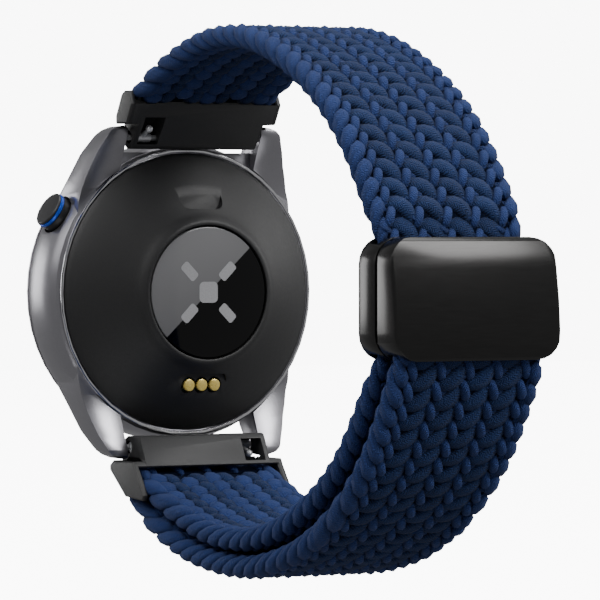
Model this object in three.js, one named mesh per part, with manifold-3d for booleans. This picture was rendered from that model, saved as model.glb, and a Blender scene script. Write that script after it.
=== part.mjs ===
// Round smartwatch on a braided loop band with a magnetic clasp.
// Millimetres. The dial faces -Y, the wrist side faces +Y, +Z points to 12 o'clock.
// The origin is the centre of the sensor window's flat outer face, where the watch meets the wrist.
import * as THREE from 'three';
import { mergeVertices } from 'three/addons/utils/BufferGeometryUtils.js';
import Module from 'manifold-3d';

const wasm = await Module();
wasm.setup();

// ---- driving dimensions ----
const gap = 0.3;                 // clearance between neighbouring pieces
const roundSteps = 48;           // facets round the case
const smallSteps = 16;           // facets round small turned pieces

const caseRadius = 21.6;         // widest point of the case band
const backRadius = 20.0;         // edge of the back cover
const backPlane = -6.5;          // where the back cover meets the case
const frontPlane = -16.1;        // bezel face
const boreRadius = 18.9;         // room inside the case
const windowRadius = 9.35;       // sensor window
const windowThickness = 1.2;
const padPitch = 2.08;           // charging contacts
const padRadius = 0.88;
const padHeight = -13.3;
const padFace = -1.85;

const lugGap = 22;               // standard strap width between the lugs
const barY = -5.2;               // spring bar axis
const barZ = 22.1;
const shelfTop = 20;             // flat between the upper lugs, under the connector
const tubeRadius = 0.75;
const pinRadius = 0.42;

const buttonAngle = THREE.MathUtils.degToRad(31);
const buttonY = -11.4;
const buttonRadius = 2.6;
const buttonTop = 23.3;          // outer end of the button from the case axis
const buttonFoot = 20.6;         // inner end of its barrel
const buttonRecess = 19.7;       // floor of the recess that it sinks into
const buttonTravel = 0.7;

const strapWidth = 22.1;
const strapThickness = 3.1;
const foldThickness = 2.2;       // the braid is squeezed where it turns round its bar
const slotThickness = 1.6;       // and where it runs through the clasp
const socketThickness = 2.4;     // and where its free end is held
const foldRadius = 1.8;
const foldY = -3.3;              // axis of the bar that the strap folds round
const foldZ = -27.1;
const tongueWidth = 20.4;        // connector between the lugs
const headHalf = 12.3;           // connector outside the lugs
const cheek = 0.9;               // side wall of a connector

const claspWidth = 25.8;
const claspHeight = 16.2;
const claspCorner = 3.6;
const claspSplit = 66.2;         // plane where the two clasp halves meet
const claspInner = 62.0;

// ---- solids ----
function solidOf(geometry) {
  const bare = geometry.index ? geometry.toNonIndexed() : geometry.clone();
  bare.deleteAttribute('normal');
  bare.deleteAttribute('uv');
  const merged = mergeVertices(bare, 1e-4);
  const vertProperties = new Float32Array(merged.attributes.position.array);
  const corners = merged.index.array;
  const triangles = [];
  let volume = 0;
  const [a, b, c] = [new THREE.Vector3(), new THREE.Vector3(), new THREE.Vector3()];
  for (let i = 0; i < corners.length; i += 3) {
    const [p, q, r] = [corners[i], corners[i + 1], corners[i + 2]];
    if (p === q || q === r || r === p) continue;
    triangles.push([p, q, r]);
    a.fromArray(vertProperties, p * 3);
    b.fromArray(vertProperties, q * 3);
    c.fromArray(vertProperties, r * 3);
    volume += a.dot(b.cross(c));
  }
  const outward = volume > 0 ? triangles : triangles.map(([p, q, r]) => [p, r, q]);
  const triVerts = new Uint32Array(outward.flat());
  return new wasm.Manifold(new wasm.Mesh({ numProp: 3, vertProperties, triVerts }));
}

// A profile of [radius, y] points turned round the watch's axis.
function turned(profile, steps = roundSteps) {
  return solidOf(new THREE.LatheGeometry(profile.map(([r, y]) => new THREE.Vector2(r, y)), steps));
}

function ring(inner, outer, low, high, steps = roundSteps) {
  return turned([[inner, low], [outer, low], [outer, high], [inner, high], [inner, low]], steps);
}

function disc(radius, low, high, steps = roundSteps) {
  return turned([[0, low], [radius, low], [radius, high], [0, high]], steps);
}

function moved(solid, x, y, z) {
  return solid.translate([x, y, z]);
}

function box(low, high) {
  const size = high.map((value, i) => value - low[i]);
  const middle = high.map((value, i) => (value + low[i]) / 2);
  return moved(solidOf(new THREE.BoxGeometry(...size)), ...middle);
}

// A round rod between two points.
function rod(from, to, radius, steps = smallSteps, endRadius = radius) {
  const start = new THREE.Vector3(...from);
  const along = new THREE.Vector3(...to).sub(start);
  const geometry = new THREE.CylinderGeometry(endRadius, radius, along.length(), steps);
  geometry.translate(0, along.length() / 2, 0);
  const turn = new THREE.Quaternion();
  turn.setFromUnitVectors(new THREE.Vector3(0, 1, 0), along.clone().normalize());
  geometry.applyQuaternion(turn);
  geometry.translate(...from);
  return solidOf(geometry);
}

function ball(centre, radius) {
  return moved(solidOf(new THREE.SphereGeometry(radius, 12, 8)), ...centre);
}

// An outline of [y, z] points carried from x = low to x = high.
function across(outline, low, high, bevel = 0) {
  const shape = new THREE.Shape(outline.map(([y, z]) => new THREE.Vector2(y, z)));
  const geometry = new THREE.ExtrudeGeometry(shape, {
    depth: high - low - 2 * bevel, steps: 1, bevelEnabled: bevel > 0,
    bevelThickness: bevel, bevelSize: bevel, bevelOffset: -bevel, bevelSegments: 1,
  });
  geometry.translate(0, 0, low + bevel);
  geometry.applyMatrix4(new THREE.Matrix4().set(0, 0, 1, 0, 1, 0, 0, 0, 0, 1, 0, 0, 0, 0, 0, 1));
  return solidOf(geometry);
}

// An outline of [x, z] points carried from y = high down to y = low.
function through(outline, low, high) {
  const shape = new THREE.Shape(outline.map(([x, z]) => new THREE.Vector2(x, z)));
  const geometry = new THREE.ExtrudeGeometry(shape, { depth: high - low, steps: 1, bevelEnabled: false });
  geometry.applyMatrix4(new THREE.Matrix4().set(1, 0, 0, 0, 0, 0, -1, high, 0, 1, 0, 0, 0, 0, 0, 1));
  return solidOf(geometry);
}

function roundedBox(width, height, corner, steps = 5) {
  const points = [];
  const arms = [[1, 1, 0], [-1, 1, 90], [-1, -1, 180], [1, -1, 270]];
  for (const [sx, sz, start] of arms) {
    for (let i = 0; i <= steps; i++) {
      const angle = THREE.MathUtils.degToRad(start + 90 * i / steps);
      const x = sx * (width / 2 - corner) + corner * Math.cos(angle);
      points.push([x, sz * (height / 2 - corner) + corner * Math.sin(angle)]);
    }
  }
  return points;
}

const flipZ = (solid) => solid.mirror([0, 0, 1]);
const flipX = (solid) => solid.mirror([1, 0, 0]);

// ---- materials ----
const finish = (color, roughness, metalness) => ({ color, roughness, metalness });
const gunmetal = finish(0x77787e, 0.32, 0.9);
const steel = finish(0xc9ccd0, 0.2, 1);
const satinBlack = finish(0x1c1c1d, 0.42, 0);
const matteGrey = finish(0x38383a, 0.6, 0);
const glossBlack = finish(0x0b0b0c, 0.12, 0.2);
const braid = finish(0x1f3767, 0.85, 0);
const lensBlack = finish(0x101012, 0.06, 0);
const gold = finish(0xe0cc6c, 0.25, 1);
const blueRing = finish(0x2f6bdc, 0.25, 0.4);
const board = finish(0x174a36, 0.5, 0);
const chip = finish(0x9c9ca2, 0.4, 0);
const plastic = finish(0x2b2b2e, 0.55, 0);
const foil = finish(0xb9babd, 0.35, 0.6);
const rubber = finish(0x151515, 0.8, 0);

const watch = new THREE.Group();

function add(name, solid, look) {
  const { vertProperties, triVerts } = solid.getMesh();
  const geometry = new THREE.BufferGeometry();
  geometry.setAttribute('position', new THREE.BufferAttribute(vertProperties, 3));
  geometry.setIndex(new THREE.BufferAttribute(triVerts, 1));
  const mesh = new THREE.Mesh(geometry, new THREE.MeshStandardMaterial(look));
  mesh.name = name;
  watch.add(mesh);
}

// ---- button axis ----
const radial = (distance) => [
  distance * Math.cos(buttonAngle), buttonY, distance * Math.sin(buttonAngle),
];
const radialRod = (from, to, radius, steps, end) => rod(radial(from), radial(to), radius, steps, end);

// ---- case with its four lugs ----
function lug() {
  const half = lugGap / 2;
  const plan = [
    [half, 12], [17.6, 9.6], [17.3, 13], [16.4, 16.5], [15.2, 20.2], [14.1, 22.6], [13.6, 23.15],
    [12.6, 23.6], [half + 0.3, 23.8], [half, 23.7],
  ];
  const side = [
    [-7.0, 9], [-6.9, 14.6], [-6.0, 18.0], [-4.9, 20.6], [-3.9, 22.4], [-3.9, 23.3], [-4.5, 23.8],
    [-6.4, 23.6], [-8.1, 22.2], [-10.2, 19.6], [-11.7, 16.4], [-13.3, 13.9], [-14.7, 11.5], [-15, 9],
  ];
  const blind = rod([half - 1, barY, barZ], [half + 1.5, barY, barZ], 0.6, 16);
  return through(plan, -16, -3).intersect(across(side, half - 1, 19)).subtract(blind);
}

function caseBody() {
  const band = turned([
    [19.6, backPlane - gap], [20.35, backPlane - gap], [20.9, -7.1], [21.4, -8.4], [caseRadius, -10.2],
    [caseRadius, -12], [21.5, -13.6], [21.15, -14.9], [19.4, -14.9], [19.4, -14.5], [19.6, -14.2],
    [19.6, backPlane - gap],
  ]);
  const ledge = ring(boreRadius - 0.6, 20, -14.5, -13.9);
  const lugs = [lug(), flipX(lug()), flipZ(lug()), flipX(flipZ(lug()))];
  let body = band.add(ledge).add(ring(boreRadius, 20, -14, -9));
  for (const one of lugs) body = body.add(one);
  const half = lugGap / 2 + 0.4;
  body = body.add(box([-half, -11.5, 17], [half, -7.2, shelfTop]));
  body = body.subtract(disc(boreRadius - 0.6, -16, -13));
  body = body.subtract(disc(boreRadius, -13.9, -3));
  body = body.subtract(disc(19.6, -9, -3));
  body = body.subtract(disc(backRadius + 0.75, backPlane - gap, -3));
  const relief = rod([-lugGap / 2, barY, barZ], [lugGap / 2, barY, barZ], 2.1, 32);
  body = body.subtract(relief).subtract(flipZ(relief));
  body = body.subtract(radialRod(buttonRecess, 25, buttonRadius + 0.35, 32));
  return body.subtract(radialRod(17, 21, 1.15, smallSteps));
}

// ---- back of the watch ----
const dome = [
  [19.95, backPlane], [19.95, -6.25], [19.3, -5.65], [17.6, -4.45], [15.6, -3.2], [13.4, -1.98],
  [11.8, -1.15], [10.9, -0.55], [10.35, 0.02], [9.95, 0.15], [9.65, 0.1],
];

function backCover() {
  const inside = [
    [9.65, -1.5], [8.2, -1.5], [8.2, -2.4], [12, -3.0], [15, -4.6], [17.6, -6.2], [18.5, -7.0],
    [18.5, -8.0], [19.3, -8.0], [19.3, backPlane],
  ];
  let cover = turned([...dome, ...inside, dome[0]]);
  const port = through(roundedBox(7.8, 3.2, 0.9), padFace - 0.2, 2);
  cover = cover.subtract(moved(port, 0, 0, padHeight));
  const tab = through(roundedBox(6.8, 6.6, 1.2), -2.5, 2);
  cover = cover.subtract(moved(tab, 0, 0, 15.2));
  for (const x of [-padPitch, 0, padPitch]) {
    cover = cover.subtract(rod([x, -6, padHeight], [x, 0, padHeight], padRadius + gap, smallSteps));
  }
  return cover;
}

function contactPad(x) {
  const head = rod([x, padFace - 0.5, padHeight], [x, padFace, padHeight], padRadius, smallSteps);
  const foot = rod([x, -6.6, padHeight], [x, padFace - 0.4, padHeight], 0.5, 12);
  return head.add(foot);
}

// Rounded sensor tile, its long side along the given angle.
function sensorTile(width, height, x, z, angle) {
  const tile = through(roundedBox(width, height, 0.35, 3), -2.3, -1.6);
  return moved(tile.rotate([0, angle, 0]), x, 0, z);
}

// ---- inside the case ----
function chassis() {
  const wall = ring(17.1, 18.5, -13.3, -8.4);
  const floor = disc(18.5, -13.4, -12.9);
  return wall.add(floor).subtract(radialRod(14, 20, 1.6, 16));
}

function mainBoard() {
  const notch = box([-4, -9, 12], [4, -7, 18]);
  let plate = disc(16.7, -8.0, -7.2);
  plate = plate.subtract(notch);
  for (const [x, z] of screwPlaces) {
    plate = plate.subtract(rod([x, -9, z], [x, -7, z], 0.9, 16));
  }
  return plate;
}

const screwPlaces = [45, 135, 225, 315].map((degrees) => {
  const angle = THREE.MathUtils.degToRad(degrees);
  return [14.6 * Math.cos(angle), 14.6 * Math.sin(angle)];
});

function boardScrew([x, z]) {
  const head = rod([x, -6.9, z], [x, -6.3, z], 1.2, 16);
  const shank = rod([x, -9.6, z], [x, -6.7, z], 0.55, 12);
  const slot = box([x - 1.3, -6.5, z - 0.15], [x + 1.3, -6.2, z + 0.15]);
  return head.add(shank).subtract(slot);
}

function battery() {
  const can = disc(8.6, -12.5, -8.6, 48);
  return moved(can, -2.2, 0, 1.5);
}

// ---- button: a barrel and an end cap with a coloured ring in the groove between them ----
const stemEnd = 15.9;
const neckRadius = 1.5;
const grooveLow = 22.3;
const grooveHigh = 22.95;

function buttonCap() {
  const bevel = 0.2;
  return radialRod(buttonFoot, grooveLow, buttonRadius, 32)
    .add(radialRod(grooveLow - 0.1, grooveHigh + 0.1, neckRadius, 32))
    .add(radialRod(grooveHigh, buttonTop - bevel, buttonRadius, 32))
    .add(radialRod(buttonTop - bevel, buttonTop, buttonRadius, 32, buttonRadius - bevel))
    .subtract(radialRod(buttonFoot - 1, buttonFoot + 0.8, 1.1, 24));
}

function buttonRing() {
  const outer = radialRod(grooveLow + 0.08, grooveHigh - 0.08, buttonRadius + 0.08, 32);
  return outer.subtract(radialRod(grooveLow - 1, grooveHigh + 1, neckRadius + 0.2, 24));
}

function buttonStem() {
  return radialRod(stemEnd, buttonFoot + 0.5, 0.8, 24);
}

// A helix round the z axis, starting at the origin.
class Coil extends THREE.Curve {
  constructor(radius, length, turns) {
    super();
    Object.assign(this, { radius, length, turns });
  }

  getPoint(t) {
    const angle = 2 * Math.PI * this.turns * t;
    const [x, y] = [this.radius * Math.cos(angle), this.radius * Math.sin(angle)];
    return new THREE.Vector3(x, y, this.length * t);
  }
}

function coil(radius, wire, length, turns) {
  const section = new THREE.Shape();
  section.absarc(0, 0, wire / 2, 0, 2 * Math.PI);
  const path = new Coil(radius, length, turns);
  const steps = turns * 8;
  return solidOf(new THREE.ExtrudeGeometry(section, {
    steps, curveSegments: 2, bevelEnabled: false, extrudePath: path,
  }));
}

// ---- spring bars with quick-release pins; the upper one, the lower one is its half turn ----
const tubeEnd = 5.5;

function barTube() {
  const tube = rod([-9.9, barY, barZ], [tubeEnd, barY, barZ], tubeRadius);
  return tube.subtract(rod([-6, barY, barZ], [tubeEnd + 1, barY, barZ], pinRadius + 0.1, 16));
}

function barTip() {
  return rod([-12.1, barY, barZ], [-10.2, barY, barZ], pinRadius, 16);
}

function releasePin() {
  const shaft = rod([2.6, barY, barZ], [12.1, barY, barZ], pinRadius, 16);
  const collar = rod([6.85, barY, barZ], [9.3, barY, barZ], 0.7, 16);
  const lever = rod([8.2, barY, barZ], [8.2, barY + 2.1, barZ + 1.0], 0.32, 12);
  return shaft.add(collar).add(lever).add(ball([8.2, barY + 2.5, barZ + 1.2], 0.55));
}

function barSpring() {
  return moved(coil(0.28, 0.14, 7.9, 8).rotate([0, 90, 0]), -5.6, barY, barZ);
}

// ---- connectors ----
// Cuts the spring bar's bore and the notch that bares its release pin.
function fitBar(body, turnedOver = false) {
  const bore = rod([-11, barY, barZ], [11, barY, barZ], tubeRadius + 0.2);
  const notchEnd = turnedOver ? 24.2 : 24.9;
  const notch = across([[-6.3, 21.1], [2, 21.1], [2, notchEnd], [-4.4, notchEnd], [-6.3, 23.2]], 6.2, 9.5);
  return body.subtract(bore).subtract(turnedOver ? flipX(notch) : notch);
}

const tongue = (outline) => across(outline, -tongueWidth / 2, tongueWidth / 2);

const lugEnd = 24.0;             // connectors widen beyond the lugs

const topTongue = [
  [-6.8, 22.0], [-6.3, 21.0], [-5.6, 20.5], [-4.7, 20.45], [-4.3, 20.7], [-1.9, lugEnd], [-1.3, 25.1],
  [-5.4, 25.1], [-6.4, 24.0],
];
const topCheek = [
  [-5.3, lugEnd], [-1.9, lugEnd], [-0.3, 26.8], [-1.2, 28.7], [-2.9, 28.7], [-3.6, 28.3], [-5.3, 25.2],
];
const topSeat = [
  [-5.3, lugEnd], [-1.9, lugEnd], [-0.3, 26.8], [-0.7, 26.75], [-3.0, 25.45], [-4.2, 25.45],
  [-3.5, 27.9], [-4.0, 27.6], [-5.3, 25.2],
];

function connectorHead(seat, sides) {
  const inner = headHalf - cheek;
  const wall = across(sides, inner, headHalf, 0.25);
  return across(seat, -inner - 0.2, inner + 0.2).add(wall).add(flipX(wall));
}

const strapPin = [-3.15, 26.3];

function topConnector() {
  const [y, z] = strapPin;
  const bore = rod([-11.9, y, z], [11.9, y, z], 0.75, 16);
  return fitBar(tongue(topTongue).add(connectorHead(topSeat, topCheek))).subtract(bore);
}

function topStrapPin() {
  const [y, z] = strapPin;
  return rod([-11.6, y, z], [11.6, y, z], 0.45, 16);
}

// The lower connector is drawn with z pointing away from the watch, and mirrored once it is whole.
const lowTongue = [
  [-6.8, 22.0], [-6.3, 21.0], [-5.4, 20.5], [-2.2, 20.4], [-1.8, 20.7], [-0.8, 22.6], [0.15, 24.6],
  [-0.1, 24.85], [-0.9, 24.25], [-2.2, 23.5], [-5.2, 23.5], [-6.6, 25.0], [-7.1, 24.6],
];
const lintel = [[-1.5, lugEnd], [-0.25, lugEnd], [0.15, 24.6], [-0.1, 24.85], [-0.9, 24.25]];
const backWall = [[-7.1, lugEnd], [-6.6, lugEnd], [-6.6, 26.6], [-7.1, 25.6]];
const lowCheek = [
  [-7.1, 25.4], [-7.1, 24.6], [-6.2, lugEnd], [-0.25, lugEnd], [0.2, 24.8], [3.0, 28.6], [2.6, 29.4],
  [-2.6, 29.0],
];

function bottomConnector() {
  const inner = headHalf - cheek;
  const wall = across(lowCheek, inner, headHalf, 0.2);
  const webs = across(lintel, -inner - 0.2, inner + 0.2).add(across(backWall, -inner - 0.2, inner + 0.2));
  const upright = fitBar(tongue(lowTongue).add(webs).add(wall).add(flipX(wall)), true);
  const pocket = rod([-inner, foldY, -foldZ], [inner, foldY, -foldZ], foldRadius + 1.4, 40);
  const bore = rod([-11.9, foldY, -foldZ], [11.9, foldY, -foldZ], 0.6, 16);
  return flipZ(upright.subtract(pocket).subtract(bore));
}

// ---- strap: each run is a ribbon along a centre line of [y, z] points ----
const upperRun = [
  [-1.84, 27.84], [1.7, 29.75], [7, 32.2], [13, 34.2], [19, 35.4], [26, 35.5], [33, 34.2], [40, 31.6],
  [46.5, 28.1], [52, 24.0], [56.6, 19.3], [60.1, 14.4], [62.6, 10.6], [63.6, 8.0], [63.75, 4.5],
  [63.75, 0.3],
];
const foldDirection = [0.88, -0.475];
const foldNormal = [0.475, 0.88];
const innerStart = [
  foldY + foldRadius * foldNormal[0] + 2.2 * foldDirection[0],
  foldZ + foldRadius * foldNormal[1] + 2.2 * foldDirection[1],
];
const outerStart = [
  foldY - foldRadius * foldNormal[0] + 2.2 * foldDirection[0],
  foldZ - foldRadius * foldNormal[1] + 2.2 * foldDirection[1],
];
const innerRun = [
  innerStart, [4.2, -28.8], [9.8, -30.9], [17, -32.9], [23.5, -33.6], [30, -33.2], [37, -31.6],
  [44, -28.6], [49.7, -25.2], [54.3, -21.3], [57.7, -17.2], [60.5, -13.2], [62.7, -10.0], [63.6, -7.8],
  [63.75, -4.5], [63.75, -0.3],
];
const outerRun = [
  outerStart, [2.0, -32.0], [6.6, -34.1], [12, -35.8], [18, -36.8], [24, -37.3], [30, -37.1], [36, -36.0],
  [42, -34.3], [47.5, -31.8],
];
const flapRun = [
  [47.5, -31.8], [52.6, -28.6], [57.4, -24.7], [61.6, -20.0], [65.0, -14.8], [67.3, -10.8], [68.25, -8.4],
  [68.4, -5], [68.4, -1.6],
];

const curveOf = (points) => new THREE.SplineCurve(points.map(([y, z]) => new THREE.Vector2(y, z)));

// Offsets the run to both sides by half its thickness and carries the outline across the strap.
function ribbon(curve, from, to, steps, thickness) {
  const [near, far] = [[], []];
  for (let i = 0; i <= steps; i++) {
    const t = from + (to - from) * i / steps;
    const point = curve.getPointAt(t);
    const along = curve.getTangentAt(t);
    const half = thickness(point.x, point.y) / 2;
    near.push([point.x - along.y * half, point.y + along.x * half]);
    far.unshift([point.x + along.y * half, point.y - along.x * half]);
  }
  return across([...near, ...far], -strapWidth / 2, strapWidth / 2, 0.55);
}

// Full thickness in the open run, less in the clasp (|z| below about 9) and at a connector (small y).
function squeezed(atConnector, atClasp) {
  return (y, z) => {
    const leaving = THREE.MathUtils.smoothstep(y, -2, 4.5);
    if (y < 30) return atConnector + (strapThickness - atConnector) * leaving;
    return atClasp + (strapThickness - atClasp) * THREE.MathUtils.smoothstep(Math.abs(z), 8.7, 12.3);
  };
}

function strapFold() {
  const points = [];
  const centre = new THREE.Vector2(foldY, foldZ);
  const start = Math.atan2(foldNormal[1], foldNormal[0]);
  for (let i = 0; i <= 16; i++) {
    const angle = start + Math.PI * i / 16;
    points.push(new THREE.Vector2(foldRadius, 0).rotateAround(new THREE.Vector2(), angle).add(centre));
  }
  const along = new THREE.Vector2(...foldDirection);
  const first = points[0].clone().addScaledVector(along, 1.9);
  const last = points[16].clone().addScaledVector(along, 1.9);
  const outline = [first, ...points, last].map(({ x, y }) => [x, y]);
  const half = foldThickness / 2;
  const [outer, inner] = [[], []];
  outline.forEach(([y, z]) => {
    const fromBar = new THREE.Vector2(y - foldY, z - foldZ);
    const back = Math.max(0, fromBar.dot(along));
    const side = fromBar.addScaledVector(along, -back).normalize();
    outer.push([y + side.x * half, z + side.y * half]);
    inner.unshift([y - side.x * half, z - side.y * half]);
  });
  return across([...outer, ...inner], -strapWidth / 2, strapWidth / 2, 0.4);
}

// ---- magnetic clasp ----
const half = claspWidth / 2;
const rise = claspHeight / 2;

// The slider on the inner run: a flat sleeve with the strap's slot and a pocket for its magnets.
function sliderShell() {
  const outline = roundedBox(claspWidth, claspHeight, claspCorner);
  const slot = box([-11.6, claspInner + 0.6, -rise - 1], [11.6, claspInner + 2.9, rise + 1]);
  const pocket = box([-10.6, claspInner + 3.15, -5.6], [10.6, claspSplit + 1, 5.6]);
  return through(outline, claspInner, claspSplit - 0.15).subtract(slot).subtract(pocket);
}

function magnet(x, low, high) {
  return box([x - 4.8, low, -5.2], [x + 4.8, high, 5.2]);
}

// The outer half: a barrel-shaped block, thicker at its lower end, with the socket for the strap's end.
const shellSide = [
  [claspSplit + 0.15, rise], [69.0, rise], [69.6, rise - 0.5], [70.3, 4], [70.9, 0], [71.2, -4],
  [71.1, -rise + 0.5], [70.7, -rise], [claspSplit + 0.15, -rise],
];

function outerShell() {
  const block = across(shellSide, -half, half, 0.3);
  const trimmed = block.intersect(through(roundedBox(claspWidth, claspHeight, claspCorner), 60, 75));
  const socket = box([-11.5, claspSplit + 0.7, -rise - 1], [11.5, 69.9, -1.2]);
  const pocket = box([-10.6, claspSplit - 1, -0.4], [10.6, claspSplit + 1.9, 6.4]);
  return trimmed.subtract(socket).subtract(pocket);
}

// ---- build ----
add('case_body', caseBody(), gunmetal);
add('bezel_ring', turned([
  [18.7, frontPlane], [20.6, frontPlane], [21.1, -15.7], [21.15, -15.2], [19.9, -15.2], [19.9, -15.5],
  [18.7, -15.5], [18.7, frontPlane],
]), steel);
add('front_glass', turned([
  [0, -15.2], [18.2, -15.2], [18.4, -15.5], [18.4, -16.1], [17.6, -16.5], [12, -16.8], [0, -16.9],
]), lensBlack);
add('display_panel', disc(17.6, -14.9, -13.7), glossBlack);
add('chassis_frame', chassis(), plastic);
add('battery_cell', battery(), foil);
add('main_board', mainBoard(), board);
screwPlaces.forEach((place, i) => add(`board_screw_${i + 1}`, boardScrew(place), steel));
add('vibration_motor', moved(disc(2.9, -12.5, -9.6, 32), 12.2, 0, -6.4), steel);
add('speaker_box', box([-6, -12.4, -15], [4, -9.2, -9.4]), plastic);
add('back_gasket', ring(18.9, 19.4, -8.85, -8.25), rubber);
add('trim_ring', ring(20.2, 20.55, backPlane - 0.05, -6.25), steel);
add('back_cover', backCover(), satinBlack);
add('sensor_window', disc(windowRadius, -windowThickness, 0), lensBlack);
add('sensor_board', disc(7.8, -3.4, -2.6), board);
[[1, 1], [-1, 1], [-1, -1], [1, -1]].forEach(([sx, sz], i) => {
  add(`sensor_led_${i + 1}`, sensorTile(2.9, 1.4, 3.1 * sx, 2.95 * sz, sx * sz > 0 ? -45 : 45), chip);
});
add('light_sensor', sensorTile(3.0, 3.0, 0, 0, 0), chip);
[-padPitch, 0, padPitch].forEach((x, i) => add(`charge_contact_${i + 1}`, contactPad(x), gold));

add('button_cap', buttonCap(), plastic);
add('button_ring', buttonRing(), blueRing);
add('button_stem', buttonStem(), steel);
add('button_switch', radialRod(13.4, stemEnd - buttonTravel - 0.25, 1.2, 16), plastic);

add('top_bar_tube', barTube(), steel);
add('top_bar_tip', barTip(), steel);
add('top_bar_spring', barSpring(), steel);
add('top_release_pin', releasePin(), steel);
add('bottom_bar_tube', barTube().rotate([0, 180, 0]), steel);
add('bottom_bar_tip', barTip().rotate([0, 180, 0]), steel);
add('bottom_bar_spring', barSpring().rotate([0, 180, 0]), steel);
add('bottom_release_pin', releasePin().rotate([0, 180, 0]), steel);
add('top_connector', topConnector(), matteGrey);
add('top_strap_pin', topStrapPin(), steel);
add('bottom_connector', bottomConnector(), matteGrey);
add('bottom_strap_bar', rod([-11.7, foldY, foldZ], [11.7, foldY, foldZ], 0.45, 16), steel);

const upper = curveOf(upperRun);
const inner = curveOf(innerRun);
const outer = curveOf(outerRun);
const flap = curveOf(flapRun);
add('strap_upper', ribbon(upper, 0, 1, 32, squeezed(2.6, slotThickness)), braid);
add('strap_inner', ribbon(inner, 0, 1, 32, squeezed(foldThickness, slotThickness)), braid);
add('strap_fold', strapFold(), braid);
add('strap_outer', ribbon(outer, 0, 0.994, 18, squeezed(foldThickness, slotThickness)), braid);
add('strap_flap', ribbon(flap, 0.006, 1, 18, squeezed(foldThickness, socketThickness)), braid);

add('slider_shell', sliderShell(), glossBlack);
[-5.2, 5.2].forEach((x, i) => add(`slider_magnet_${i + 1}`, magnet(x, claspInner + 3.25, claspSplit - 0.25), steel));
add('clasp_shell', outerShell(), glossBlack);
[-5.2, 5.2].forEach((x, i) => {
  const cell = box([x - 4.8, claspSplit + 0.25, 0], [x + 4.8, claspSplit + 1.6, 6.1]);
  add(`clasp_magnet_${i + 1}`, cell, steel);
});

export default watch;
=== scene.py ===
"""Round smartwatch on a braided loop band with a magnetic clasp: its looks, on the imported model's frame."""
import math
import random
from collections import namedtuple

import bmesh
import bpy
from mathutils import Matrix, Vector


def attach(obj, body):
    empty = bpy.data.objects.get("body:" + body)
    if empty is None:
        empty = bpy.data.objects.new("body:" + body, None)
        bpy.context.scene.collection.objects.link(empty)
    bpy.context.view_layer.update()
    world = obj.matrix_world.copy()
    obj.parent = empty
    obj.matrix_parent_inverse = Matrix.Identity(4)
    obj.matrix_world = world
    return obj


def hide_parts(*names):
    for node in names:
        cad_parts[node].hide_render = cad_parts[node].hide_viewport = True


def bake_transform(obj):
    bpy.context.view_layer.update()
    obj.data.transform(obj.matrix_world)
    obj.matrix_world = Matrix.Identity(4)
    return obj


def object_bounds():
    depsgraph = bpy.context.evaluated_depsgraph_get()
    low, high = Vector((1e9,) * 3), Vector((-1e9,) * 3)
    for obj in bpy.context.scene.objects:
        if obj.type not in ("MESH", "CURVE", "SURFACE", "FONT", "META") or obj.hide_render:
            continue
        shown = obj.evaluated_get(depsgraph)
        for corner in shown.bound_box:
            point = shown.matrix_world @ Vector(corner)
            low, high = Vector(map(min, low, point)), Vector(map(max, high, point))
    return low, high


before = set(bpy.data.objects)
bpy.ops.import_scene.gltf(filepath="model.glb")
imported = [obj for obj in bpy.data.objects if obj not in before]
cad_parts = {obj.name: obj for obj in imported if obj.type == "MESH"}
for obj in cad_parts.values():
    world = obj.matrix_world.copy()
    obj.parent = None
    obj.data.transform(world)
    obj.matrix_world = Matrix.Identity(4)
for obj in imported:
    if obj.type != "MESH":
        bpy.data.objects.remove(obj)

cad_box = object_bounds()
mm = 0.001
dice = random.Random(7)

# ---- camera: behind the watch, on the button's side, almost level ----
azimuth, elevation = math.radians(149.19), math.radians(0.92)
to_camera = Vector((math.sin(azimuth) * math.cos(elevation), -math.cos(azimuth) * math.cos(elevation),
                    math.sin(elevation)))
right = Vector((math.cos(azimuth), math.sin(azimuth), 0))
up = to_camera.cross(right)
camera_distance = 700 * mm
view_centre = (13.05 * right - 1.11 * up) * mm


def aimed(thing, place, target):
    """Puts a camera or light at a place, looking at a target, and links it to the scene."""
    holder = bpy.data.objects.new(thing.name, thing)
    holder.location = place
    holder.rotation_euler = (Vector(target) - Vector(place)).to_track_quat("-Z", "Y").to_euler()
    bpy.context.scene.collection.objects.link(holder)
    return holder


camera = bpy.data.cameras.new("camera")
camera.sensor_width = 36
camera.lens = 294
camera.clip_start = 0.01
camera.clip_end = 20
bpy.context.scene.camera = aimed(camera, view_centre + to_camera * camera_distance, view_centre)


# ---- studio ----
room_strength = 0.3
backdrop_strength = 9.0
floor_drop = 12 * mm
floor_half_size = 1.2


def soft_light(name, across, rise, towards, distance, size, brightness):
    """A square soft box, placed by how far it stands right of, above and in front of the watch."""
    lamp = bpy.data.lights.new(name, "AREA")
    lamp.shape = "SQUARE"
    lamp.size = size
    lamp.energy = brightness * size * size * math.pi
    way = (right * across + up * rise + to_camera * towards).normalized()
    return aimed(lamp, way * distance, (0, 0.03, 0))


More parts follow.
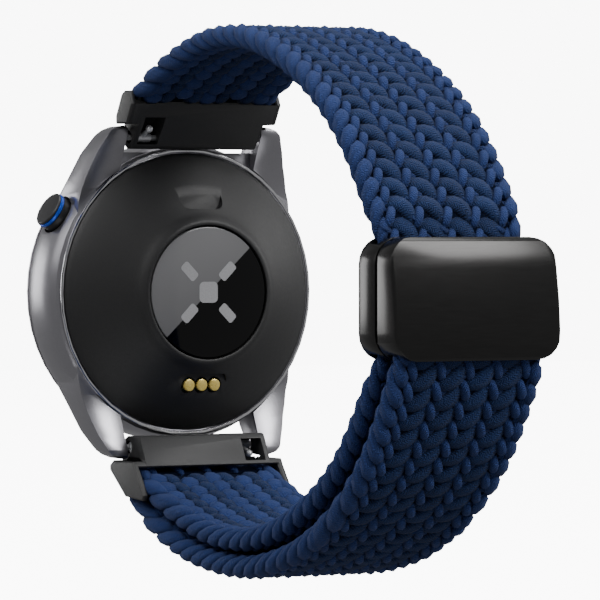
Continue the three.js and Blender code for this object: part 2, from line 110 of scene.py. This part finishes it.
def studio():
    # right, up and towards the camera, then distance, size and brightness
    soft_light("key_light", -0.75, 1.0, 0.75, 0.9, 0.5, 5.0)
    soft_light("top_light", 0.2, 1.0, -0.1, 0.8, 0.6, 4.0)
    soft_light("fill_light", 0.6, 0.9, 1.0, 1.1, 0.5, 1.6)
    soft_light("side_light", -0.9, 0.1, -0.6, 0.9, 0.3, 4.5)
    soft_light("near_light", -1.0, 0.5, 0.15, 0.9, 0.35, 1.5)
    soft_light("clasp_light", 0.88, 0.64, 0.48, 0.9, 0.34, 12.0)
    soft_light("low_light", 0.4, -0.9, 0.8, 0.9, 0.6, 1.3)
    soft_light("rim_light", 0.9, 0.3, -0.35, 0.9, 0.35, 4.0)
    world = bpy.data.worlds.new("studio")
    bpy.context.scene.world = world
    world.use_nodes = True
    nodes, links = world.node_tree.nodes, world.node_tree.links
    nodes["Background"].inputs["Color"].default_value = (0.94, 0.94, 0.95, 1)
    nodes["Background"].inputs["Strength"].default_value = room_strength
    white = nodes.new("ShaderNodeBackground")
    white.inputs["Color"].default_value = (1, 1, 1, 1)
    white.inputs["Strength"].default_value = backdrop_strength
    path = nodes.new("ShaderNodeLightPath")
    pick = nodes.new("ShaderNodeMixShader")
    links.new(path.outputs["Is Camera Ray"], pick.inputs[0])
    links.new(nodes["Background"].outputs[0], pick.inputs[1])
    links.new(white.outputs[0], pick.inputs[2])
    links.new(pick.outputs[0], nodes["World Output"].inputs["Surface"])


# ---- materials: wiring shared by all finishes ----
class Finish:
    """A procedural material, with short ways to wire its pattern."""

    def __init__(self, name, roughness, metallic=0.0, **sockets):
        self.material = bpy.data.materials.new(name)
        self.material.use_nodes = True
        self.tree = self.material.node_tree
        self.shader = self.tree.nodes["Principled BSDF"]
        self.shader.inputs["Roughness"].default_value = roughness
        self.shader.inputs["Metallic"].default_value = metallic
        for socket, value in sockets.items():
            self.shader.inputs[socket.replace("_", " ").title().replace("Ior", "IOR")].default_value = value
        self.place = self.add("ShaderNodeTexCoord").outputs["Object"]

    def add(self, kind, inputs=None, **settings):
        node = self.tree.nodes.new(kind)
        for key, value in settings.items():
            setattr(node, key, value)
        for key, value in (inputs or {}).items():
            if isinstance(value, bpy.types.NodeSocket):
                self.tree.links.new(value, node.inputs[key])
            else:
                node.inputs[key].default_value = value
        return node

    def noise(self, size, detail=3.0, stretch=None):
        """Noise whose grains are about size metres."""
        where = self.place
        if stretch:
            where = self.add("ShaderNodeMapping", {"Vector": self.place, "Scale": stretch}).outputs[0]
        node = self.add("ShaderNodeTexNoise", {"Vector": where, "Scale": 1 / size, "Detail": detail})
        return node.outputs["Fac"]

    def between(self, value, low, high, start=0.3, stop=0.7):
        """Spreads a value's middle part over low to high."""
        node = self.add("ShaderNodeMapRange", {
            "Value": value, "From Min": start, "From Max": stop, "To Min": low, "To Max": high})
        return node.outputs[0]

    def maths(self, operation, a, b=0.0):
        return self.add("ShaderNodeMath", {0: a, 1: b}, operation=operation).outputs[0]

    def blend(self, share, low, high):
        node = self.add("ShaderNodeMix", {"Factor": share}, data_type="RGBA")
        for index, value in ((6, low), (7, high)):
            if isinstance(value, bpy.types.NodeSocket):
                self.tree.links.new(value, node.inputs[index])
            else:
                node.inputs[index].default_value = (*value, 1)
        return node.outputs[2]

    def colour(self, socket):
        self.tree.links.new(socket, self.shader.inputs["Base Color"])

    def polish(self, socket):
        self.tree.links.new(socket, self.shader.inputs["Roughness"])

    def relief(self, height, depth):
        node = self.add("ShaderNodeBump", {"Height": height, "Distance": depth, "Strength": 1.0})
        self.tree.links.new(node.outputs[0], self.shader.inputs["Normal"])


def speckled(name, dark, light, roughness, spread, size, metallic=0.0, depth=0.00001, **sockets):
    """A finish whose tone, polish and surface vary in fine grains."""
    made = Finish(name, roughness, metallic, **sockets)
    grains = made.noise(size, 4.0)
    made.colour(made.blend(made.between(grains, 0, 1, 0.25, 0.75), dark, light))
    made.polish(made.between(made.noise(size * 3, 3.0), roughness - spread, roughness + spread, 0.2, 0.8))
    made.relief(grains, depth)
    return made.material


def case_metal():
    """Satin gunmetal, blasted to a very fine grain."""
    return speckled("case_metal", (0.29, 0.285, 0.305), (0.355, 0.35, 0.375),
                    0.3, 0.025, 0.0001, 0.95, 0.000002)


def chrome():
    return speckled("chrome", (0.72, 0.72, 0.74), (0.85, 0.85, 0.87), 0.12, 0.03, 0.0003, 1.0, 0.000002)


def steel():
    """Drawn steel, with marks along its length."""
    made = Finish("steel", 0.3, 0.4)
    marks = made.noise(0.0001, 3.0, stretch=(0.12, 1, 1))
    made.colour(made.blend(made.between(marks, 0, 1), (0.62, 0.63, 0.65), (0.85, 0.86, 0.88)))
    made.polish(made.between(marks, 0.16, 0.3))
    made.relief(marks, 0.000006)
    return made.material


def cover_black():
    """Satin black moulded cover."""
    return speckled("cover_black", (0.011, 0.011, 0.0115), (0.017, 0.017, 0.0175),
                    0.5, 0.05, 0.00016, depth=0.000006)


def window_black():
    """Gloss sensor window with a painted reflection: light grey on one side of a slant, near black on the
    other, and faint wipe marks.
    """
    made = Finish("window", 0.05, specular_ior_level=0.3)
    turn = (0, math.radians(-43), 0)
    slant = made.add("ShaderNodeMapping", {"Vector": made.place, "Rotation": turn}).outputs[0]
    side = made.add("ShaderNodeSeparateXYZ", {0: slant}).outputs["Z"]
    # Painted reflection: the colour steps from near black to light grey across the slant, and the light side
    # grows lighter over its first 9 mm.
    tone = made.between(side, 0, 1, -0.00006, 0.00006)
    painted_reflection_fade = made.between(side, 0.75, 1, 0, 0.009)
    wipes = made.noise(0.003, 2.0, stretch=(1, 1, 0.3))
    share = made.maths("MULTIPLY", tone, painted_reflection_fade)
    made.colour(made.blend(share, (0.0012, 0.0012, 0.0014), (0.21, 0.21, 0.215)))
    made.polish(made.between(wipes, 0.035, 0.07))
    return made.material


def glass_black():
    """Front glass with a dark backing and faint wipe marks."""
    return speckled("front_glass", (0.002, 0.002, 0.0022), (0.0035, 0.0035, 0.004),
                    0.06, 0.02, 0.004, depth=0.0000005)


def display_black():
    made = Finish("display", 0.1)
    cells = made.add("ShaderNodeTexVoronoi", {"Vector": made.place, "Scale": 6000.0})
    made.colour(made.blend(cells.outputs["Distance"], (0.003, 0.003, 0.004), (0.012, 0.012, 0.015)))
    return made.material


def sensor_tile():
    """Pale windows printed under the gloss."""
    return speckled("sensor_tile", (0.33, 0.33, 0.34), (0.42, 0.42, 0.43),
                    0.08, 0.02, 0.0002, depth=0.000001)


def gold():
    return speckled("gold", (0.72, 0.52, 0.1), (0.92, 0.74, 0.24), 0.25, 0.05, 0.00025, 0.35, 0.000003)


def button_black():
    return speckled("button_black", (0.03, 0.03, 0.032), (0.055, 0.055, 0.058),
                    0.4, 0.06, 0.0001, 0.6, 0.000004)


def button_blue():
    return speckled("button_blue", (0.01, 0.07, 0.62), (0.03, 0.15, 0.85),
                    0.22, 0.04, 0.0002, 0.35, 0.000002)


def inner_plastic():
    return speckled("inner_plastic", (0.03, 0.03, 0.034), (0.06, 0.06, 0.066),
                    0.5, 0.08, 0.00015, depth=0.00001)


def battery_foil():
    made = Finish("battery_foil", 0.35, 0.7)
    creases = made.noise(0.002, 5.0)
    made.colour(made.blend(made.between(creases, 0, 1), (0.42, 0.42, 0.44), (0.62, 0.62, 0.64)))
    made.polish(made.between(creases, 0.25, 0.45))
    made.relief(creases, 0.00015)
    return made.material


def circuit_board():
    """Green solder mask with lighter tracks under it."""
    made = Finish("circuit_board", 0.35)
    turn = (math.pi / 2, 0, 0)
    laid = made.add("ShaderNodeMapping", {"Vector": made.place, "Rotation": turn}).outputs[0]
    tracks = made.add("ShaderNodeTexBrick", {
        "Vector": laid, "Scale": 500.0, "Mortar Size": 0.03,
        "Color1": (0.012, 0.1, 0.05, 1), "Color2": (0.016, 0.12, 0.06, 1), "Mortar": (0.04, 0.22, 0.11, 1)})
    made.colour(tracks.outputs["Color"])
    made.relief(tracks.outputs["Fac"], 0.00002)
    return made.material


def rubber():
    return speckled("rubber", (0.012, 0.012, 0.012), (0.03, 0.03, 0.03),
                    0.75, 0.08, 0.0002, depth=0.00002)


def connector_grey():
    """Fine matte powder coat."""
    return speckled("connector_grey", (0.015, 0.015, 0.0155), (0.027, 0.027, 0.028),
                    0.5, 0.06, 0.00009, depth=0.000014)


def clasp_black():
    """Deep black lacquer over metal, with long faint polishing marks."""
    made = Finish("clasp_black", 0.21, 0.85)
    marks = made.noise(0.00016, 3.0, stretch=(0.06, 1, 1))
    made.colour(made.blend(made.between(marks, 0, 1), (0.03, 0.0295, 0.029), (0.036, 0.0355, 0.035)))
    made.polish(made.between(marks, 0.2, 0.22))
    return made.material


def cord_finish(name, dark, light, rib, depth, contrast):
    """A braided sleeve: fine zigzag ribs round the cord, in the cord's own coordinates, in millimetres."""
    made = Finish(name, 0.75, sheen_weight=0.05, sheen_roughness=0.5, specular_ior_level=0.2)
    own = made.add("ShaderNodeAttribute", attribute_name="grain").outputs["Vector"]
    tone = made.add("ShaderNodeAttribute", attribute_name="tone").outputs["Fac"]
    across, along, lift = made.add("ShaderNodeSeparateXYZ", {0: own}).outputs
    zigzag = made.maths("ADD", along, made.maths("PINGPONG", across, 0.42))
    wander = made.between(made.noise(0.0007, 2.0), -0.1, 0.1)
    ribs = made.maths("SINE", made.maths("MULTIPLY", made.maths("ADD", zigzag, wander), 2 * math.pi / rib))
    fuzz = made.between(made.noise(0.00018, 2.0), -1, 1)
    height = made.maths("ADD", made.maths("MULTIPLY", ribs, 0.6), made.maths("MULTIPLY", fuzz, 0.4))
    # Random tone per cord, plus painted shade: each cord is darker low down and lighter on its top.
    tone_and_painted_shade = made.maths("ADD", made.maths("MULTIPLY", tone, 0.25), made.between(lift, -0.5, 0.5, 0.1, 0.8))
    share = made.between(made.maths("ADD", height, tone_and_painted_shade), 0, 1, -contrast, contrast)
    made.colour(made.blend(share, dark, light))
    made.relief(height, depth)
    return made.material


def stitch_blue():
    return cord_finish("stitch_blue", (0.008, 0.021, 0.085), (0.024, 0.054, 0.2), 0.32, 0.00008, 1.2)


# The same yarn as the stitches in a darker copy: painted shade on the ropes, which lie lower under the
# stitches.
def rope_painted_shade_blue():
    return cord_finish("rope_painted_shade_blue", (0.001, 0.004, 0.018), (0.011, 0.034, 0.125), 0.36, 0.00009, 1.1)


# Near-black core: painted shade in the gaps between the cords.
def core_painted_shade_blue():
    return speckled("core_painted_shade_blue", (0.0008, 0.0025, 0.011), (0.002, 0.006, 0.022),
                    0.9, 0.05, 0.0002, depth=0.00005, specular_ior_level=0.1)


# ---- CAD pieces that keep their shape: edges eased, faces smoothed, finish added ----
def smoothing(limit):
    """Node group that shades faces smooth, except across edges sharper than the limit."""
    group = bpy.data.node_groups.new("smooth_faces", "GeometryNodeTree")
    for way in ("INPUT", "OUTPUT"):
        group.interface.new_socket("Geometry", in_out=way, socket_type="NodeSocketGeometry")
    nodes, links = group.nodes, group.links
    start, end = nodes.new("NodeGroupInput"), nodes.new("NodeGroupOutput")
    faces, edges = nodes.new("GeometryNodeSetShadeSmooth"), nodes.new("GeometryNodeSetShadeSmooth")
    edges.domain = "EDGE"
    edges.inputs["Shade Smooth"].default_value = False
    angle, sharp = nodes.new("GeometryNodeInputMeshEdgeAngle"), nodes.new("FunctionNodeCompare")
    sharp.operation = "GREATER_THAN"
    sharp.inputs["B"].default_value = limit
    links.new(start.outputs[0], faces.inputs["Geometry"])
    links.new(faces.outputs[0], edges.inputs["Geometry"])
    links.new(angle.outputs["Unsigned Angle"], sharp.inputs["A"])
    links.new(sharp.outputs["Result"], edges.inputs["Selection"])
    links.new(edges.outputs[0], end.inputs[0])
    return group


sharp_limit = math.radians(32)
smooth_faces = smoothing(sharp_limit)


def dress(node, material, ease=0.0):
    """Gives a CAD node its finish, and eases its sharp edges by so many millimetres."""
    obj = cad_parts[node]
    obj.data.materials.clear()
    obj.data.materials.append(material)
    weld = obj.modifiers.new("weld", "WELD")
    weld.merge_threshold = 0.000002
    if ease:
        flat = obj.modifiers.new("flat_faces", "DECIMATE")
        flat.decimate_type = "DISSOLVE"
        flat.angle_limit = math.radians(0.6)
        bevel = obj.modifiers.new("eased_edges", "BEVEL")
        bevel.width = ease * mm
        bevel.segments = 2
        bevel.limit_method = "ANGLE"
        bevel.angle_limit = sharp_limit
        bevel.use_clamp_overlap = True
    smooth = obj.modifiers.new("smooth_faces", "NODES")
    smooth.node_group = smooth_faces


# ---- strap runs, in millimetres: [y, z] points of the centre line ----
strap_width = 22.2
strap_half = 1.6
row_pitch = 2.92
column_pitch = 4.42
in_connector_y, past_connector_y = -2, 3.5
half_way_y = 30
in_clasp_z, past_clasp_z = 8.6, 11.6

upper_run = [
    (-1.84, 27.84), (1.7, 29.75), (7, 32.2), (13, 34.2), (19, 35.4), (26, 35.5), (33, 34.2), (40, 31.6),
    (46.5, 28.1), (52, 24.0), (56.6, 19.3), (60.1, 14.4), (62.6, 10.6), (63.6, 8.0), (63.75, 4.5),
    (63.75, 0.3)]
fold_centre = Vector((0, -3.3, -27.1))
fold_radius = 1.8
fold_way = Vector((0, 0.88, -0.475))
fold_side = Vector((0, 0.475, 0.88))
inner_start = fold_centre + fold_side * fold_radius + fold_way * 2.2
outer_start = fold_centre - fold_side * fold_radius + fold_way * 2.2
inner_run = [
    (inner_start.y, inner_start.z), (4.2, -28.8), (9.8, -30.9), (17, -32.9), (23.5, -33.6), (30, -33.2),
    (37, -31.6), (44, -28.6), (49.7, -25.2), (54.3, -21.3), (57.7, -17.2), (60.5, -13.2), (62.7, -10.0),
    (63.6, -7.8), (63.75, -4.5), (63.75, -0.3)]
outer_run = [
    (outer_start.y, outer_start.z), (2.0, -32.0), (6.6, -34.1), (12, -35.8), (18, -36.8), (24, -37.3),
    (30, -37.1), (36, -36.0), (42, -34.3), (47.5, -31.8)]
flap_run = [
    (47.5, -31.8), (52.6, -28.6), (57.4, -24.7), (61.6, -20.0), (65.0, -14.8), (67.3, -10.8), (68.25, -8.4),
    (68.4, -5), (68.4, -1.6)]


def fold_run():
    """Round the bar in the lower connector, from the inner layer to the outer one."""
    first = math.atan2(fold_side.z, fold_side.y)
    arc = [fold_centre + fold_radius * Vector((0, math.cos(first + a), math.sin(first + a)))
           for a in (math.pi * i / 8 for i in range(9))]
    line = [arc[0] + fold_way * 1.9, *arc, arc[-1] + fold_way * 1.9]
    return [(p.y, p.z) for p in line]


class Run:
    """A strap run's centre line. A place on it is x across, s along, and n out from the middle."""
    step = 0.4

    def __init__(self, corners, outward):
        corners = [Vector((0, y, z)) for y, z in corners]
        padded = [corners[0], *corners, corners[-1]]
        dense = []
        for p0, p1, p2, p3 in zip(padded, padded[1:], padded[2:], padded[3:]):
            for t in (i / 24 for i in range(24)):
                dense.append(0.5 * (2 * p1 + (p2 - p0) * t + (2 * p0 - 5 * p1 + 4 * p2 - p3) * t * t
                                    + (3 * p1 - p0 - 3 * p2 + p3) * t ** 3))
        dense.append(corners[-1])
        self.points = [dense[0]]
        travelled = 0.0
        for a, b in zip(dense, dense[1:]):
            length = (b - a).length
            while length > 0 and travelled + length >= self.step * len(self.points):
                self.points.append(a.lerp(b, (self.step * len(self.points) - travelled) / length))
            travelled += length
        self.length = travelled
        self.outward = outward
        self.normals = []
        for i in range(len(self.points)):
            ahead = self.points[min(i + 2, len(self.points) - 1)] - self.points[max(i - 2, 0)]
            self.normals.append(Vector((0, -ahead.z, ahead.y)).normalized() * outward)

    def at(self, s):
        """The point and the outward normal s along the run."""
        place = min(max(s / self.step, 0), len(self.points) - 1.001)
        i = int(place)
        share = place - i
        point = self.points[i].lerp(self.points[i + 1], share)
        normal = self.normals[i].lerp(self.normals[i + 1], share)
        tangent = Vector((0, normal.z, -normal.y)) * self.outward
        return point + tangent * (s - min(max(s, 0), self.length)), normal

    def place(self, x, s, n):
        point, normal = self.at(s)
        return (point + normal * n + Vector((x, 0, 0))) * mm


def smoothstep(value, low, high):
    t = min(max((value - low) / (high - low), 0), 1)
    return t * t * (3 - 2 * t)


def squeezed(run, at_connector, at_clasp):
    """Half the strap's thickness along a run: less in the connector, and in the clasp."""
    def half(s):
        point, _ = run.at(s)
        if point.y < half_way_y:
            freed = smoothstep(point.y, in_connector_y, past_connector_y)
            return at_connector + (strap_half - at_connector) * freed
        freed = smoothstep(abs(point.z), in_clasp_z, past_clasp_z)
        return at_clasp + (strap_half - at_clasp) * freed
    return half


# ---- braid ----
def rounded_end(point):
    """Moves a point of a unit ball, its poles along the cord, onto a cord with blunt round ends."""
    across, lift, along = point
    radius = math.hypot(across, lift)
    full = (1 - along ** 4) ** 0.5 / radius if radius > 1e-4 else 0
    return across * full, along, lift * full


stitch_slot, rope_slot = 1, 2

# Kinds of cord. Length, width and height are in millimetres and the turn away from the strap's length is in
# radians. Level is a share of half the strap's thickness. The ends dive, and a cord may bow sideways.
Cord = namedtuple("Cord", "slot length width height turn level dive bow", defaults=(0.0,))
outer_stitch = Cord(stitch_slot, 3.5, 1.3, 1.5, 0.42, 0.66, 0.22)
outer_rope = Cord(rope_slot, 5.7, 2.7, 1.9, -0.92, 0.42, 0.1, 0.12)
inner_stitch = Cord(stitch_slot, 4.9, 2.9, 1.9, 0.5, 0.5, 0.28)
inner_rope = Cord(rope_slot, 4.4, 2.4, 1.8, -0.35, 0.42, 0.2)
turn_spread = 0.05
side_columns = 2

# Cords round the strap's edges
edge_length, edge_height = 7.0, 1.8
edge_overlap = 1.15
edge_lean = 2.0
edge_radius = 2.1


class Braid:
    """The cords of one strap run, laid as short round-ended lengths over a core coloured near black as
    painted shade in the gaps.
    """

    def __init__(self, run, half):
        self.run, self.half = run, half
        self.bm = bmesh.new()
        self.bm.verts.layers.float_vector.new("grain")
        self.bm.verts.layers.float.new("tone")
        self.length = bmesh.new()
        self.grain = self.length.verts.layers.float_vector.new("grain")
        self.tone = self.length.verts.layers.float.new("tone")
        bmesh.ops.create_uvsphere(self.length, u_segments=8, v_segments=8, radius=1)
        self.shape = [rounded_end(v.co) for v in self.length.verts]
        self.laid = bpy.data.meshes.new("laid")
        for face in self.length.faces:
            face.smooth = True

    def core(self, start, end):
        """A flat body under the cords."""
        cuts = int((end - start) / 1.2)
        made = bmesh.ops.create_cube(self.bm, size=2)["verts"]
        long_edges = {e for v in made for e in v.link_edges if abs(e.verts[0].co.y - e.verts[1].co.y) > 1}
        bmesh.ops.subdivide_edges(self.bm, edges=list(long_edges), cuts=cuts, use_grid_fill=True)
        for v in self.bm.verts:
            s = start + (end - start) * (v.co.y + 1) / 2
            v.co = self.run.place(v.co.x * (strap_width / 2 - 1.1), s, v.co.z * self.half(s) * 0.45)

    def strand(self, place, length, width, height, slot):
        """One length of cord. Its place function takes across, along and up in millimetres."""
        tone = dice.uniform(-1, 1)
        for v, (across, along, lift) in zip(self.length.verts, self.shape):
            x, y, z = across * width / 2, along * length / 2, lift * height / 2
            v[self.grain] = (x, y, z)
            v[self.tone] = tone
            v.co = place(x, y, z)
        for face in self.length.faces:
            face.material_index = slot
        self.length.to_mesh(self.laid)
        self.bm.from_mesh(self.laid)

    def lay(self, cord, x, s, side, wobble):
        """Lays a cord of some kind on the outer (side 1) or inner (side -1) face."""
        half = self.half(s)
        c, d = math.cos(cord.turn + wobble), math.sin(cord.turn + wobble)

        def place(across, along, lift):
            across = across + cord.bow * along * along
            sunk = cord.dive * along * along * half / strap_half
            n = half * cord.level + lift * min(half / strap_half, 1) - sunk
            return self.run.place(x + across * c + along * d, s - across * d + along * c, side * n)
        self.strand(place, cord.length, cord.width, cord.height, cord.slot)

    def wrap(self, edge, s, lean):
        """A place function for a cord that goes round the strap's edge."""
        half = self.half(s)

        def place(across, along, lift):
            turn = along / edge_radius
            reach = (half * 0.56 + lift * half / strap_half)
            x = strap_width / 2 - 1.75 + (reach + 0.75) * math.cos(turn)
            return self.run.place(edge * x, s + across + lean * math.sin(turn), reach * math.sin(turn) * 1.1)
        return place

    def finish(self, name, materials):
        bmesh.ops.recalc_face_normals(self.bm, faces=self.bm.faces)
        mesh = bpy.data.meshes.new(name)
        self.bm.to_mesh(mesh)
        self.bm.free()
        self.length.free()
        bpy.data.meshes.remove(self.laid)
        for material in materials:
            mesh.materials.append(material)
        obj = bpy.data.objects.new(name, mesh)
        bpy.context.scene.collection.objects.link(obj)
        return obj


def lay_braid(name, run, half, materials, start=0.0, inner_face=True):
    """Lays a whole run: leaning stitches over slanting ropes on each face, and cords round the edges."""
    work = Braid(run, half)
    end = run.length
    work.core(start, end)
    rows = max(round((end - start) / row_pitch), 1)
    pitch = (end - start) / rows
    for row in range(rows):
        s = start + (row + 0.5) * pitch
        for column in range(-side_columns, side_columns + 1):
            x = column * column_pitch
            wobble = dice.uniform(-turn_spread, turn_spread)
            work.lay(outer_stitch, x, s, 1, wobble)
            if column > -side_columns:
                work.lay(outer_rope, x - column_pitch / 2, s + pitch / 2, 1, wobble)
            if inner_face:
                work.lay(inner_stitch, x, s + column % 2 * pitch / 2, -1, wobble)
                if column < side_columns:
                    work.lay(inner_rope, x + column_pitch / 2, s, -1, wobble)
    s = start
    while s < end:
        lobe = row_pitch + 1.6 * (1 - smoothstep(s, 3, 16))
        for edge in (-1, 1):
            round_edge = work.wrap(edge, s + lobe / 2, -edge_lean * edge)
            work.strand(round_edge, edge_length, lobe * edge_overlap, edge_height, stitch_slot)
        s += lobe
    return work.finish(name, materials)


def strap():
    materials = [core_painted_shade_blue(), stitch_blue(), rope_painted_shade_blue()]
    upper, inner, fold = Run(upper_run, 1), Run(inner_run, -1), Run(fold_run(), -1)
    outer, flap = Run(outer_run, -1), Run(flap_run, -1)

    piece = lay_braid("braid_upper", upper, squeezed(upper, 1.5, 0.8), materials, -0.2)
    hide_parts("strap_upper")
    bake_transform(piece)

    piece = lay_braid("braid_inner", inner, squeezed(inner, 1.05, 0.8), materials)
    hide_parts("strap_inner")
    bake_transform(piece)

    piece = lay_braid("braid_fold", fold, lambda s: 1.1, materials, inner_face=False)
    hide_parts("strap_fold")
    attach(piece, "bottom_link")

    piece = lay_braid("braid_outer", outer, squeezed(outer, 1.05, 0.8), materials)
    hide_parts("strap_outer")
    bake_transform(piece)

    piece = lay_braid("braid_flap", flap, squeezed(flap, 1.2, 1.2), materials)
    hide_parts("strap_flap")
    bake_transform(piece)


# ---- sensor window marks, in millimetres ----
slot_width, slot_height, slot_corner = 2.9, 1.5, 0.4
slot_across, slot_rise = 3.1, 3.0
square_side, square_corner = 3.0, 0.7
mark_low, mark_high = -0.2, 0.012


def rounded_plate(bm, width, height, corner, turn, x, z):
    """A flat plate with rounded corners, its faces across Y."""
    made = bmesh.ops.create_cube(bm, size=1)["verts"]
    bmesh.ops.scale(bm, vec=(width, mark_high - mark_low, height), verts=made)
    bmesh.ops.rotate(bm, verts=made, cent=(0, 0, 0), matrix=Matrix.Rotation(turn, 3, "Y"))
    bmesh.ops.translate(bm, verts=made, vec=(x, (mark_low + mark_high) / 2, z))
    edges = {e for v in made for e in v.link_edges}
    upright = [e for e in edges if abs((e.verts[0].co - e.verts[1].co).normalized().y) > 0.9]
    bmesh.ops.bevel(bm, geom=upright, offset=corner, segments=5, profile=0.5, affect="EDGES", material=-1)


def window_marks(material):
    """Four pale slots in a cross round a rounded square, flush with the window's face."""
    bm = bmesh.new()
    for sx, sz in ((1, 1), (-1, 1), (-1, -1), (1, -1)):
        turn = math.radians(45 if sx * sz < 0 else -45)
        rounded_plate(bm, slot_width, slot_height, slot_corner, turn, slot_across * sx, slot_rise * sz)
    rounded_plate(bm, square_side, square_side, square_corner, 0, 0, 0)
    bmesh.ops.scale(bm, vec=(mm, mm, mm), verts=bm.verts)
    mesh = bpy.data.meshes.new("window_marks")
    bm.to_mesh(mesh)
    bm.free()
    mesh.materials.append(material)
    obj = bpy.data.objects.new("window_marks", mesh)
    bpy.context.scene.collection.objects.link(obj)
    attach(obj, "case")


def floor():
    """Plain pale table, low enough for the opened clasp to hang clear of it."""
    low, _ = cad_box
    bm = bmesh.new()
    bmesh.ops.create_grid(bm, x_segments=1, y_segments=1, size=floor_half_size)
    bmesh.ops.translate(bm, verts=bm.verts, vec=(0, 0.03, low.z - floor_drop))
    mesh = bpy.data.meshes.new("floor")
    bm.to_mesh(mesh)
    bm.free()
    mesh.materials.append(speckled("floor_white", (0.86, 0.86, 0.86), (0.9, 0.9, 0.9), 0.7, 0.02, 0.01,
                                   emission_color=(1, 1, 1, 1), emission_strength=backdrop_strength))
    obj = bpy.data.objects.new("floor", mesh)
    obj.visible_diffuse = obj.visible_glossy = False
    bpy.context.scene.collection.objects.link(obj)


def dress_nodes():
    """Finishes and eased edges of the pieces that keep their CAD shape."""
    metal, bright, wire = case_metal(), chrome(), steel()
    cover, lens, plastic = cover_black(), window_black(), inner_plastic()
    board, pale, pads = circuit_board(), sensor_tile(), gold()
    grey, lacquer = connector_grey(), clasp_black()
    dress("case_body", metal, 0.22)
    dress("bezel_ring", metal, 0.1)
    dress("front_glass", glass_black())
    dress("display_panel", display_black())
    for node in ("chassis_frame", "speaker_box", "button_switch"):
        dress(node, plastic, 0.1)
    dress("battery_cell", battery_foil(), 0.4)
    for node in ("main_board", "sensor_board"):
        dress(node, board)
    for node in [f"board_screw_{i}" for i in range(1, 5)] + ["vibration_motor", "button_stem"]:
        dress(node, wire, 0.06)
    dress("back_gasket", rubber(), 0.1)
    dress("trim_ring", bright, 0.08)
    dress("back_cover", cover, 0.12)
    dress("sensor_window", lens, 0.15)
    for node in [f"sensor_led_{i}" for i in range(1, 5)] + ["light_sensor"]:
        dress(node, pale)
    for i in range(1, 4):
        dress(f"charge_contact_{i}", pads, 0.12)
    dress("button_cap", button_black(), 0.08)
    dress("button_ring", button_blue(), 0.08)
    for end in ("top", "bottom"):
        for part in ("bar_tube", "bar_tip", "bar_spring", "release_pin"):
            dress(f"{end}_{part}", wire)
        dress(f"{end}_connector", grey, 0.16)
    dress("top_strap_pin", wire, 0.05)
    dress("bottom_strap_bar", wire, 0.05)
    for shell in ("slider_shell", "clasp_shell"):
        dress(shell, lacquer, 0.28)
    for half in ("slider", "clasp"):
        for i in (1, 2):
            dress(f"{half}_magnet_{i}", wire, 0.2)
    window_marks(pale)


studio()
floor()
dress_nodes()
strap()
